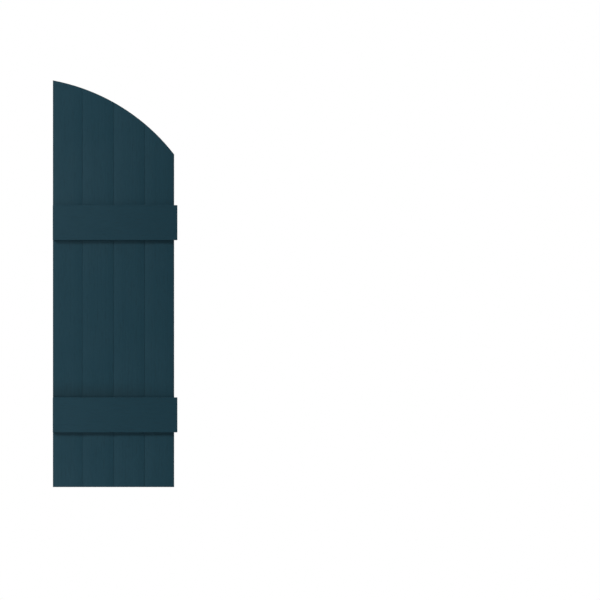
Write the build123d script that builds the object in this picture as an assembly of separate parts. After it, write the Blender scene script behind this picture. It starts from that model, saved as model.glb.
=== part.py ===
from build123d import *
import math
import os

# An arch-top board and batten shutter whose arch falls away to the right. Four moulded boards stand edge to
# edge under one arch, and two moulded battens lie across their faces, screwed from behind.
# Millimetres. X runs along the wall from the tall edge to the short edge, Y into the wall and Z up.
# The open backs of the boards lie in the plane Y = 0. The origin is in that plane, midway across the boards
# and halfway up the tall edge.

# Front outline
tall_edge_height = 1161.0
short_edge_height = 950.0
arch_radius = 569.0
edge_board_width = 84.0
middle_board_width = 89.0

# Board section: a flat face with a low shoulder down to each joint
board_depth = 16.0
board_wall = 2.5
shoulder_run = 26.0
shoulder_drop = 1.4
joint_round = 0.9
arch_edge_round = 1.4

# Stiffening ribs in the open back of each board
rib_thickness = 2.0
longest_pocket = 100.0
least_pocket = 24.0

# Battens, with their heights above the foot of the shutter
lower_batten_height = 206.3
upper_batten_height = 754.7
batten_width = 100.0
batten_overhang = 9.6
batten_stand = 11.5
batten_wall = 2.5
batten_edge_round = 1.0
batten_end_round = 1.5
batten_rib = 2.0

# Batten screws: one high and one low in each board, from behind into a boss in the batten
screw_across = 26.0
screw_up = 48.0
screw_clearance_radius = 2.4
boss_radius = 4.5
pilot_radius = 1.6
pilot_floor = 1.0

# Boards from the tall edge to the short edge
BOARDS = {
    "outer_edge_board": edge_board_width,
    "outer_middle_board": middle_board_width,
    "inner_middle_board": middle_board_width,
    "inner_edge_board": edge_board_width,
}
BATTENS = {
    "upper_batten": upper_batten_height,
    "lower_batten": lower_batten_height,
}

boards_width = sum(BOARDS.values())
left_edge = -boards_width / 2
right_edge = boards_width / 2
foot = -tall_edge_height / 2
face_plane = -board_depth
cut_margin = 1.0


def arch_centre():
    """Centre of the arch, which passes through the tops of the tall and the short edge."""
    run = boards_width
    rise = short_edge_height - tall_edge_height
    chord = math.hypot(run, rise)
    sagitta_arm = math.sqrt(arch_radius**2 - (chord / 2) ** 2)
    middle_x = (left_edge + right_edge) / 2
    middle_z = foot + (tall_edge_height + short_edge_height) / 2
    return middle_x + sagitta_arm * rise / chord, middle_z - sagitta_arm * run / chord


ARCH_X, ARCH_Z = arch_centre()


def arch_top(x, inset=0.0):
    """Height of the arch at x, or of the arch drawn in by inset."""
    return ARCH_Z + math.sqrt((arch_radius - inset) ** 2 - (x - ARCH_X) ** 2)


def board_places():
    """Each board's name with its left and right edges."""
    x = left_edge
    places = {}
    for name, width in BOARDS.items():
        places[name] = (x, x + width)
        x += width
    return places


def screw_points(left, right, height):
    """Two screws of a board at one batten, as (x, z): the first high, the second low."""
    middle = (left + right) / 2
    centre = foot + height
    return [
        (middle - screw_across / 2, centre + screw_up / 2),
        (middle + screw_across / 2, centre - screw_up / 2),
    ]


def along_y(x, z, radius, back, front):
    """A round bar along Y, from the plane y = back forward to y = front."""
    return extrude(Plane((x, back, z), z_dir=(0, -1, 0)) * Circle(radius), back - front)


def board_bar(left, right, depth, round_radius):
    """A bar of the board's section, standing from the foot to above the arch."""
    low_face = -depth + shoulder_drop
    flat_left = left + shoulder_run
    flat_right = right - shoulder_run
    outline = Polyline((left, low_face), (left, 0), (right, 0), (right, low_face))
    outline += TangentArc((flat_left, -depth), (left, low_face), tangent=(-1, 0))
    outline += Line((flat_left, -depth), (flat_right, -depth))
    outline += TangentArc((flat_right, -depth), (right, low_face), tangent=(1, 0))
    section = make_face(outline)
    if round_radius:
        corners = section.vertices().filter_by(lambda v: math.isclose(v.Y, low_face))
        section = fillet(corners, round_radius)
    return extrude(Plane.XY.offset(foot) * section, ARCH_Z + arch_radius - foot)


def arch_slab(left, right, inset, depth, edge_round):
    """The board's front outline, drawn in by inset all round, as a slab from the wall to depth.

    Its front edges along the arch and the foot are rounded.
    """
    low = foot + inset
    middle = (left + right) / 2
    sides = Polyline(
        (left + inset, arch_top(left + inset, inset)),
        (left + inset, low),
        (right - inset, low),
        (right - inset, arch_top(right - inset, inset)),
    )
    arch = ThreePointArc(sides @ 1, (middle, arch_top(middle, inset)), sides @ 0)
    slab = extrude(Plane.XZ * make_face(sides + arch), depth)
    if edge_round:
        front = slab.faces().sort_by(Axis.Y)[0]
        upright = front.edges().filter_by(Axis.Z)
        slab = fillet([edge for edge in front.edges() if edge not in upright], edge_round)
    return slab


def rib_heights():
    """Cross ribs: one behind each long edge of a batten, the lengths between divided evenly."""
    stops = [foot]
    for height in sorted(BATTENS.values()):
        stops += [foot + height - batten_width / 2, foot + height + batten_width / 2]
    stops.append(foot + tall_edge_height)
    heights = []
    for low, high in zip(stops, stops[1:]):
        pockets = math.ceil((high - low) / longest_pocket)
        heights += [low + (high - low) * i / pockets for i in range(1, pockets + 1)]
    return heights[:-1]


def board_ribs(left, right):
    """One rib up the middle of a board's back and the cross ribs that fall below its arch."""
    middle = (left + right) / 2
    across = right - left
    tallest = max(arch_top(left, board_wall), arch_top(right, board_wall))
    upright = Box(rib_thickness, board_depth, tallest - foot)
    level = Box(across, board_depth, rib_thickness)
    ribs = [Pos(middle, -board_depth / 2, (foot + tallest) / 2) * upright]
    for height in rib_heights():
        if height < tallest - least_pocket:
            ribs.append(Pos(middle, -board_depth / 2, height) * level)
    return ribs


def board(left, right):
    """One hollow board: eased face, arch wall, foot wall, ribbed back and the batten screws' holes."""
    body = board_bar(left, right, board_depth, joint_round)
    body &= arch_slab(left, right, 0.0, board_depth, arch_edge_round)
    hollow = board_bar(left + board_wall, right - board_wall, board_depth - board_wall, 0.0)
    hollow &= arch_slab(left, right, board_wall, board_depth, 0.0)
    screws = [point for height in BATTENS.values() for point in screw_points(left, right, height)]
    holes = [along_y(x, z, screw_clearance_radius, 0.0, face_plane - cut_margin) for x, z in screws]
    return body - (hollow - board_ribs(left, right)) - holes


def batten(height):
    """One hollow batten: rounded cap, ribs and screw bosses, with its rim on the boards' faces."""
    length = boards_width + batten_overhang
    middle = left_edge + length / 2
    centre = foot + height
    cap = Pos(middle, face_plane - batten_stand / 2, centre) * Box(length, batten_stand, batten_width)
    cap = fillet(cap.edges().filter_by(Axis.Y), batten_end_round)
    cap = fillet(cap.faces().sort_by(Axis.Y)[0].edges(), batten_edge_round)
    room = batten_stand - batten_wall
    ceiling = face_plane - room
    room_middle = face_plane - room / 2
    hollow = Pos(middle, room_middle, centre) * Box(
        length - 2 * batten_wall, room, batten_width - 2 * batten_wall
    )
    ribs = [Pos(middle, room_middle, centre) * Box(length, room, batten_rib)]
    bosses = []
    pilots = []
    for left, right in board_places().values():
        ribs.append(Pos(right, room_middle, centre) * Box(batten_rib, room, batten_width))
        for x, z in screw_points(left, right, height):
            bosses.append(along_y(x, z, boss_radius, face_plane, ceiling))
            pilots.append(along_y(x, z, pilot_radius, face_plane, ceiling + pilot_floor))
    return cap - (hollow - ribs - bosses) - pilots


os.makedirs("parts", exist_ok=True)
for name, (left, right) in board_places().items():
    export_step(board(left, right), f"parts/{name}.step")
for name, height in BATTENS.items():
    export_step(batten(height), f"parts/{name}.step")
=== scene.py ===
import math

import bmesh
import bpy
from mathutils import Matrix, Vector


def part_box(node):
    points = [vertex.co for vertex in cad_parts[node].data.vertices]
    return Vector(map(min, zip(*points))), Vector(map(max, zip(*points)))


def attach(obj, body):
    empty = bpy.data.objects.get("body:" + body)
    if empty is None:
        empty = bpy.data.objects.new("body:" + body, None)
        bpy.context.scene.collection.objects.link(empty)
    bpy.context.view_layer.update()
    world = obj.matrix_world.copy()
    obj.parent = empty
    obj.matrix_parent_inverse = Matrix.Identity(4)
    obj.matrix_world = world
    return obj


# The looks of an arch-top board and batten shutter: dyed vinyl with a moulded wood grain on the faces of its
# boards and battens, plain vinyl in its open back, and the zinc-plated screws that hold the battens.
# Metres, in the frame of the part: X along the wall from the tall edge, Y into the wall, Z up.

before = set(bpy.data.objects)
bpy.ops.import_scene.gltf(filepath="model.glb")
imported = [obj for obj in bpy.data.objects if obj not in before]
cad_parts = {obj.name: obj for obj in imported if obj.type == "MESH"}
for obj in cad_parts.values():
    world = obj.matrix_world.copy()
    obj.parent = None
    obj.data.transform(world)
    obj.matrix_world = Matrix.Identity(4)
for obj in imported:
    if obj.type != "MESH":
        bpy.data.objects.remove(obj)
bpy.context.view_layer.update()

BOARDS = ["outer_edge_board", "outer_middle_board", "inner_middle_board", "inner_edge_board"]
BATTENS = ["upper_batten", "lower_batten"]

# Places taken from the part
board_boxes = [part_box(name) for name in BOARDS]
tall_edge = board_boxes[0][0].x
short_edge = board_boxes[-1][1].x
foot = board_boxes[0][0].z
board_face = board_boxes[0][0].y
joints = [high.x for low, high in board_boxes[:-1]]
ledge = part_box("lower_batten")[1].z
batten_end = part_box("lower_batten")[1].x

# Batten screws: one high and one low in each board, with their heads on the floor of the board's open back
screw_across = 0.026
screw_up = 0.048
board_wall = 0.0025
pocket_floor = board_face + board_wall
head_sides = 28
head_radius = 0.0042
head_height = 0.0026
head_round = 0.0014
head_round_steps = 4
smooth_below = math.radians(35.0)
shank_radius = 0.0015
shank_length = 0.0085
tip_length = 0.0016
tip_share = 0.2
recess_length = 0.0046
recess_width = 0.0011
recess_depth = 0.0015
recess_taper = 0.45
turn_between_screws = math.radians(137.5)

# The least height of a unit normal on a face that counts as level
level_face = 0.9

# Dyed vinyl. The battens carry painted light: their colour is a little darker than the boards', a shaded
# copy, and their faded patches grow towards the tall edge, where the lamps are, so that side is painted
# lighter.
# The grime colour darkens the dirt in the pores and the painted shade on the boards.
teal = (0.0110, 0.0452, 0.0655)
batten_teal_shaded = (0.0104, 0.0425, 0.0616)
teal_faded_and_painted_light = (0.0140, 0.0495, 0.0705)
grime_and_painted_shade = (0.0080, 0.0260, 0.0350)
vinyl_roughness = 0.52
rough_in_grain = 0.10
rough_in_back = 0.08
vinyl_specular = 0.10

# Moulded wood grain: marks to a metre across the grain, drawn out along it, and their heights as shares of
# the relief. The grain ends a little behind the faces.
grain_stretch = 0.035
band_density = 180.0
band_height = 0.35
streak_density = 520.0
streak_height = 0.35
ring_density = 28.0
ring_waver = 9.0
ring_waver_detail = 2.0
ring_waver_scale = 0.6
ring_height = 0.35
pore_density = 900.0
pore_limits = (0.56, 0.72)
pore_drop = 0.45
pebble_density = 1600.0
pebble_height = 0.05
relief_depth = 0.0003
relief_strength = 0.8
board_skin = (0.0022, 0.0016)
batten_skin = (0.0030, 0.0012)
noise_middle = 0.5

# The stretch of grain that each piece is cut from, and the turn of the grain
board_grain_step = Vector((0.37, 0.11, 0.53))
batten_grain_start = Vector((0.29, 0.2, 0.0))
batten_grain_step = Vector((0.61, 0.0, 0.45))
upright_grain = (0.0, 0.0, 0.0)
level_grain = (0.0, math.pi / 2, 0.0)

# Weathering: faded patches and dirt in the pores. Painted shade darkens the boards along the joints and
# above the lower batten's ledge
patch_density = 6.0
patch_limits = (0.35, 0.75)
patch_fade = 0.7
band_fade = 0.3
pore_dirt = 0.35
# Painted shade: a thin darker line along each joint between the boards
joint_painted_shade = 0.05
joint_painted_shade_reach = (0.0006, 0.0022)
# Painted shade: the boards darken above the lower batten's ledge, fading out upwards and less at the short
# edge
ledge_painted_shade = 0.42
ledge_painted_shade_reach = (0.006, 0.056)
ledge_painted_shade_loss = 0.7
ledge_line = 0.0005

# Zinc plating
zinc_dull = (0.42, 0.42, 0.40)
zinc_bright = (0.62, 0.62, 0.60)
zinc_patch_density = 900.0
zinc_roughness = 0.28
zinc_patch_roughness = 0.2

# Picture framing: the camera looks straight along Y
picture_width = 1.7125
picture_centre_from_tall_edge = 0.7054
picture_centre_above_foot = 0.5340
lens = 400.0
sensor = 36.0

# The point that the key and the lamps behind face, and the white around the shutter
origin = (0.0, 0.0, 0.0)
white = (1.0, 1.0, 1.0)

# Floor below the shutter, which fades out towards its rim
floor_size = 3.0
floor_drop = 0.5
floor_forward = 0.5
floor_fade = (0.9, 1.5)
floor_pale = (0.8, 0.8, 0.8)
floor_glow = 0.55


class Shade:
    """A socket of a shader tree. Arithmetic on it adds Math nodes, and node() adds any other node."""

    def __init__(self, tree, socket=None):
        self.tree = tree
        self.socket = socket

    def node(self, kind, settings=None, inputs=None, output=0):
        """Add a node: its settings first, then its sockets' values or links. Gives one of its outputs."""
        made = self.tree.nodes.new(kind)
        for key, value in (settings or {}).items():
            setattr(made, key, value)
        for key, value in (inputs or {}).items():
            if isinstance(value, Shade):
                self.tree.links.new(value.socket, made.inputs[key])
            else:
                made.inputs[key].default_value = value
        return Shade(self.tree, made.outputs[output] if made.outputs else None)

    def beside(self, output):
        """Another output of the same node."""
        return Shade(self.tree, self.socket.node.outputs[output])

    def math(self, operation, first, second):
        return self.node("ShaderNodeMath", {"operation": operation}, {0: first, 1: second})

    def __add__(self, other):
        return self.math("ADD", self, other)

    def __radd__(self, other):
        return self.math("ADD", other, self)

    def __sub__(self, other):
        return self.math("SUBTRACT", self, other)

    def __rsub__(self, other):
        return self.math("SUBTRACT", other, self)

    def __mul__(self, other):
        return self.math("MULTIPLY", self, other)

    def __rmul__(self, other):
        return self.math("MULTIPLY", other, self)

    def __or__(self, other):
        """The larger of two masks."""
        return self.math("MAXIMUM", self, other)

    def __and__(self, other):
        """The smaller of two masks."""
        return self.math("MINIMUM", self, other)

    def gap(self, other):
        """How far the value lies from another."""
        return self.math("ABSOLUTE", self - other, 0.0)

    def step(self, low, high):
        """0 where the value is at low, 1 where it is at high, and smooth between."""
        settings = {"interpolation_type": "SMOOTHSTEP"}
        inputs = {"Value": self, "From Min": low, "From Max": high}
        return self.node("ShaderNodeMapRange", settings, inputs)

    def mix(self, low, high):
        """The colour low where the value is 0, and high where it is 1."""
        return self.node("ShaderNodeMix", {"data_type": "RGBA"}, {0: self, 6: low, 7: high}, output=2)


def opaque(rgb):
    return (*rgb, 1.0)


def new_material(name):
    """An empty material, and a hold on its shader tree."""
    material = bpy.data.materials.new(name)
    material.use_nodes = True
    material.node_tree.nodes.clear()
    return material, Shade(material.node_tree)


def give_surface(shade, inputs):
    """Close a material with one Principled shader."""
    surface = shade.node("ShaderNodeBsdfPrincipled", None, inputs)
    shade.node("ShaderNodeOutputMaterial", None, {"Surface": surface})


def object_place(shade):
    return shade.node("ShaderNodeTexCoord", None, None, output="Object")


def noise(shade, place, density, detail, roughness=0.5):
    """Cloudy values about noise_middle. detail is the number of finer layers, and roughness their share."""
    inputs = {"Vector": place, "Scale": density, "Detail": detail, "Roughness": roughness}
    return shade.node("ShaderNodeTexNoise", None, inputs)


def grain_rings(shade, fibres):
    """Wavering growth rings, each with one sharp side."""
    settings = {"wave_type": "BANDS", "bands_direction": "X", "wave_profile": "SAW"}
    inputs = {
        "Vector": fibres,
        "Scale": ring_density,
        "Distortion": ring_waver,
        "Detail": ring_waver_detail,
        "Detail Scale": ring_waver_scale,
    }
    return shade.node("ShaderNodeTexWave", settings, inputs)


def board_painted_shade(x, z):
    """Painted shade on the boards: a thin line along the joints between them, and a band above the lower
    batten's ledge, less at the short edge.
    """
    darkening = ledge_painted_shade * (1.0 - z.step(ledge + ledge_painted_shade_reach[0], ledge + ledge_painted_shade_reach[1]))
    darkening = darkening * z.step(ledge - ledge_line, ledge)
    darkening = darkening * (1.0 - ledge_painted_shade_loss * x.step(joints[1], short_edge))
    for joint in joints:
        darkening = darkening + joint_painted_shade * (1.0 - x.gap(joint).step(*joint_painted_shade_reach))
    return darkening


def vinyl(name, base_colour, offset, turn, face, skin_reach, on_board):
    """Dyed vinyl with a moulded wood grain near its face, and plain behind it.

    offset and turn set the grain for one piece. skin_reach says how far behind the face the grain has ended,
    and how far behind it the grain is still whole.
    """
    material, shade = new_material(name)
    place = object_place(shade)
    x = shade.node("ShaderNodeSeparateXYZ", None, {"Vector": place})
    skin = x.beside("Y").step(face + skin_reach[0], face + skin_reach[1])

    along = shade.node("ShaderNodeMapping", None, {"Vector": place, "Location": offset, "Rotation": turn})
    fibres = shade.node("ShaderNodeMapping", None, {"Vector": along, "Scale": (1.0, 1.0, grain_stretch)})
    bands = noise(shade, fibres, band_density, detail=4.0, roughness=0.6)
    streaks = noise(shade, fibres, streak_density, detail=3.0, roughness=0.6)
    pores = noise(shade, fibres, pore_density, detail=2.0).step(*pore_limits)
    rings = grain_rings(shade, fibres)
    raised = band_height * bands + streak_height * streaks + ring_height * rings
    grain = (raised - pore_drop * pores) * skin
    pebble = noise(shade, place, pebble_density, detail=1.0)
    height = grain + pebble_height * pebble
    relief = {"Height": height, "Strength": relief_strength, "Distance": relief_depth}

    patches = noise(shade, along, patch_density, detail=3.0).step(*patch_limits)
    fade_and_painted_light = patch_fade * patches + band_fade * bands
    darkening = pore_dirt * pores
    # On the boards, painted shade along the joints and above the lower batten's ledge adds to the dirt in
    # the pores
    if on_board:
        darkening = darkening + board_painted_shade(x, x.beside("Z"))
    else:
        # On the battens the faded patches grow towards the tall edge: painted light, lighter on the side
        # where the lamps are
        fade_and_painted_light = fade_and_painted_light * x.step(batten_end, tall_edge)
    dye_and_painted_light = (fade_and_painted_light * skin).mix(opaque(base_colour), opaque(teal_faded_and_painted_light))
    # The grime colour goes where the pores hold dirt and where shade is painted
    stained_and_shaded = (darkening * skin & 1.0).mix(dye_and_painted_light, opaque(grime_and_painted_shade))
    roughness = vinyl_roughness + rough_in_grain * (bands - noise_middle) + rough_in_back * (1.0 - skin)

    give_surface(
        shade,
        {
            "Base Color": stained_and_shaded,
            "Roughness": roughness,
            "Normal": shade.node("ShaderNodeBump", None, relief),
            "Specular IOR Level": vinyl_specular,
        },
    )
    return material


def zinc():
    """Zinc plating, with dull and bright patches."""
    material, shade = new_material("zinc_plating")
    cloud = noise(shade, object_place(shade), zinc_patch_density, detail=3.0)
    tone = cloud.mix(opaque(zinc_dull), opaque(zinc_bright))
    roughness = zinc_roughness + zinc_patch_roughness * cloud
    give_surface(shade, {"Base Color": tone, "Roughness": roughness, "Metallic": 1.0})
    return material


def dress_boards():
    """Each board has its own stretch of upright grain."""
    for index, name in enumerate(BOARDS):
        offset = index * board_grain_step
        finish = vinyl(f"vinyl_{name}", teal, offset, upright_grain, board_face, board_skin, on_board=True)
        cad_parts[name].data.materials[0] = finish


def dress_battens():
    """Each batten has its own stretch of level grain."""
    for index, name in enumerate(BATTENS):
        offset = batten_grain_start + index * batten_grain_step
        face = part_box(name)[0].y
        finish = vinyl(f"vinyl_{name}", batten_teal_shaded, offset, level_grain, face, batten_skin, on_board=False)
        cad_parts[name].data.materials[0] = finish


def start_piece(add_primitive, **sizes):
    """Add a primitive by itself, with its place in its mesh."""
    bpy.ops.object.select_all(action="DESELECT")
    add_primitive(**sizes)
    bpy.ops.object.transform_apply(location=True, rotation=True, scale=True)
    return bpy.context.object


def select_faces(piece, wanted):
    """In edit mode, select only the faces that wanted(face) picks."""
    bpy.ops.mesh.select_mode(type="FACE")
    bpy.ops.mesh.select_all(action="DESELECT")
    mesh = bmesh.from_edit_mesh(piece.data)
    for face in mesh.faces:
        if wanted(face):
            face.select_set(True)
    bmesh.update_edit_mesh(piece.data)


def faces_up(face):
    return face.normal.z > level_face


def faces_down(face):
    return face.normal.z < -level_face


def extrude(step):
    bpy.ops.mesh.extrude_region_move(TRANSFORM_OT_translate={"value": step})


def cut_recess(screw, turn):
    """Cut one bar of the cross recess into the top of a screw's head."""
    cutter = start_piece(
        bpy.ops.mesh.primitive_cube_add,
        size=1.0,
        location=(0.0, 0.0, head_height),
        rotation=(0.0, 0.0, turn),
        scale=(recess_length, recess_width, 2 * recess_depth),
    )
    bpy.ops.object.mode_set(mode="EDIT")
    select_faces(cutter, faces_down)
    low_centre = (0.0, 0.0, head_height - recess_depth)
    bpy.ops.transform.resize(value=(recess_taper, recess_taper, 1.0), center_override=low_centre)
    bpy.ops.object.mode_set(mode="OBJECT")

    bpy.ops.object.select_all(action="DESELECT")
    screw.select_set(True)
    bpy.context.view_layer.objects.active = screw
    cut = screw.modifiers.new("recess", "BOOLEAN")
    cut.operation = "DIFFERENCE"
    cut.object = cutter
    bpy.ops.object.modifier_apply(modifier=cut.name)
    bpy.data.objects.remove(cutter)


def model_screw():
    """One pan-head screw, its head's underside at the origin and its head along Y."""
    screw = start_piece(
        bpy.ops.mesh.primitive_cylinder_add,
        vertices=head_sides,
        radius=head_radius,
        depth=head_height,
        location=(0.0, 0.0, head_height / 2),
    )
    bpy.ops.object.mode_set(mode="EDIT")
    select_faces(screw, faces_up)
    bpy.ops.mesh.bevel(offset=head_round, segments=head_round_steps, affect="EDGES")
    select_faces(screw, faces_down)
    bpy.ops.mesh.inset(thickness=head_radius - shank_radius)
    extrude((0.0, 0.0, -shank_length))
    extrude((0.0, 0.0, -tip_length))
    tip = (0.0, 0.0, -shank_length - tip_length)
    bpy.ops.transform.resize(value=(tip_share, tip_share, 1.0), center_override=tip)
    bpy.ops.object.mode_set(mode="OBJECT")
    for turn in (0.0, math.pi / 2):
        cut_recess(screw, turn)
    bpy.ops.object.shade_smooth_by_angle(angle=smooth_below)
    screw.rotation_euler = (-math.pi / 2, 0.0, 0.0)
    bpy.ops.object.transform_apply(location=True, rotation=True, scale=True)
    return screw


def drive_screws(batten, screw, plating):
    """Copies of the screw at each board behind one batten, joined as one piece."""
    low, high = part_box(batten)
    centre = (low.z + high.z) / 2
    copies = []
    for board_low, board_high in board_boxes:
        middle = (board_low.x + board_high.x) / 2
        for side in (-1, 1):
            place = (middle + side * screw_across / 2, pocket_floor, centre - side * screw_up / 2)
            turn = Matrix.Rotation(len(copies) * turn_between_screws, 4, "Y")
            copy = bpy.data.objects.new(f"{batten}_screws", screw.data.copy())
            copy.data.transform(Matrix.Translation(place) @ turn)
            bpy.context.scene.collection.objects.link(copy)
            copies.append(copy)
    bpy.ops.object.select_all(action="DESELECT")
    for copy in copies:
        copy.select_set(True)
    bpy.context.view_layer.objects.active = copies[0]
    bpy.ops.object.join()
    screws = bpy.context.object
    screws.data.materials.append(plating)
    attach(screws, "root")


def fasten_battens():
    """One screw is modelled, and its copies go in behind both battens."""
    screw = model_screw()
    plating = zinc()
    for batten in BATTENS:
        drive_screws(batten, screw, plating)
    bpy.data.objects.remove(screw)


def shown_ray(shade):
    """1 for rays that the camera sees, also in gloss and through glass, and 0 for light on its way."""
    ray = shade.node("ShaderNodeLightPath", None, None, output="Is Camera Ray")
    return ray | ray.beside("Is Glossy Ray") | ray.beside("Is Transmission Ray")


def stage_floor():
    """A pale floor below the shutter that melts into the white around it, and is clear from underneath."""
    centre = (0.0, -floor_forward, foot - floor_drop)
    floor = start_piece(bpy.ops.mesh.primitive_plane_add, size=floor_size, location=centre)
    floor.name = "floor"
    material, shade = new_material("pale_floor")
    matt = shade.node("ShaderNodeBsdfDiffuse", None, {"Color": opaque(floor_pale)})
    glow = shade.node("ShaderNodeEmission", None, {"Strength": floor_glow * shown_ray(shade)})
    lit = shade.node("ShaderNodeAddShader", None, {0: matt, 1: glow})
    clear = shade.node("ShaderNodeBsdfTransparent")
    spread = {0: object_place(shade), 1: centre}
    reach = shade.node("ShaderNodeVectorMath", {"operation": "DISTANCE"}, spread, output="Value")
    underneath = shade.node("ShaderNodeNewGeometry", None, None, output="Backfacing")
    unseen = reach.step(*floor_fade) | underneath
    faded = shade.node("ShaderNodeMixShader", None, {0: unseen, 1: lit, 2: clear})
    shade.node("ShaderNodeOutputMaterial", None, {"Surface": faded})
    floor.data.materials.append(material)


def white_surround(fill):
    """White to the camera and in reflections, and a soft fill light to everything else."""
    world = bpy.data.worlds.new("surround")
    bpy.context.scene.world = world
    world.use_nodes = True
    world.node_tree.nodes.clear()
    shade = Shade(world.node_tree)
    strength = shown_ray(shade) * (1.0 - fill) + fill
    back = shade.node("ShaderNodeBackground", None, {"Color": opaque(white), "Strength": strength})
    shade.node("ShaderNodeOutputWorld", None, {"Surface": back})


def place_lamp(name, data, place, target):
    """A lamp at place that faces target, and that the camera doesn't see."""
    lamp = bpy.data.objects.new(name, data)
    bpy.context.scene.collection.objects.link(lamp)
    lamp.location = place
    lamp.rotation_euler = (Vector(target) - Vector(place)).to_track_quat("-Z", "Y").to_euler()
    lamp.visible_camera = False


def sun_lamp(name, place, spread, power):
    """Even light along the line from place to the origin."""
    data = bpy.data.lights.new(name, "SUN")
    data.angle = spread
    data.energy = power
    place_lamp(name, data, place, origin)


def softbox(name, place, target, size, power):
    """A square lamp that faces target."""
    data = bpy.data.lights.new(name, "AREA")
    data.shape = "SQUARE"
    data.size = size
    data.energy = power
    place_lamp(name, data, place, target)


def light_shutter():
    """A key from the upper left, one lamp above, two softboxes in front at the left, and two behind."""
    sun_lamp("key", place=(-2.4, -2.4, 2.25), spread=math.radians(16.0), power=1.76)
    softbox("above", place=(-0.1, -0.35, 1.1), target=(0.0, board_face, 0.25), size=0.3, power=1.4)
    for name, height, power in (("front_high", 0.25, 1.8), ("front_low", -0.65, 1.5)):
        softbox(name, place=(-0.35, -0.8, height), target=(-0.3, board_face, height), size=0.4, power=power)
    softbox("back_right", place=(1.7, 1.7, 0.0), target=origin, size=1.2, power=45.0)
    softbox("back_left", place=(-0.8, 2.2, 0.9), target=origin, size=1.2, power=20.0)
    white_surround(fill=0.045)


def place_camera():
    """A long lens, square to the boards' faces."""
    data = bpy.data.cameras.new("camera")
    data.lens = lens
    data.sensor_width = sensor
    camera = bpy.data.objects.new("camera", data)
    bpy.context.scene.collection.objects.link(camera)
    distance = picture_width * lens / sensor
    camera.location = (
        tall_edge + picture_centre_from_tall_edge,
        board_face - distance,
        foot + picture_centre_above_foot,
    )
    camera.rotation_euler = (math.pi / 2, 0.0, 0.0)
    bpy.context.scene.camera = camera


bpy.context.scene.view_settings.view_transform = "Standard"
dress_boards()
dress_battens()
fasten_battens()
stage_floor()
light_shutter()
place_camera()

bpy.context.view_layer.update()
